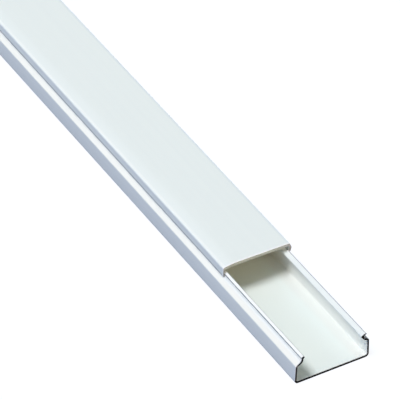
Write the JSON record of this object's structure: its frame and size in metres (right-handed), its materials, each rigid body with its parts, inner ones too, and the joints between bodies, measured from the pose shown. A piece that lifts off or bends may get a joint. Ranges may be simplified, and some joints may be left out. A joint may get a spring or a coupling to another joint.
{
  "type": "cable trunking",
  "caption": "White plastic cable trunking: a flat-backed channel with two unlike lips and a crowned clip-on lid, slid back to show the open channel.",
  "frame": {"origin": "middle of the channel's flat back, half way along its length", "axes": "+X across the channel towards the lid's hooked side, +Y along the length away from the end that the slid lid leaves open, +Z out of the flat back towards the lid"},
  "size_m": [0.06, 2.1047, 0.028],
  "materials": {
    "channel_plastic": "satin white extruded rigid plastic",
    "lid_plastic": "satin white extruded rigid plastic"
  },
  "bodies": {
    "channel": {"base_channel": "channel_plastic"},
    "lid": {"snap_lid": "lid_plastic"}
  },
  "joints": [
    {"name": "lid_slide", "type": "slide", "parent": "channel", "child": "lid", "axis": [0, 1, 0], "range_m": [-0.1047, 1.8953]}
  ]
}
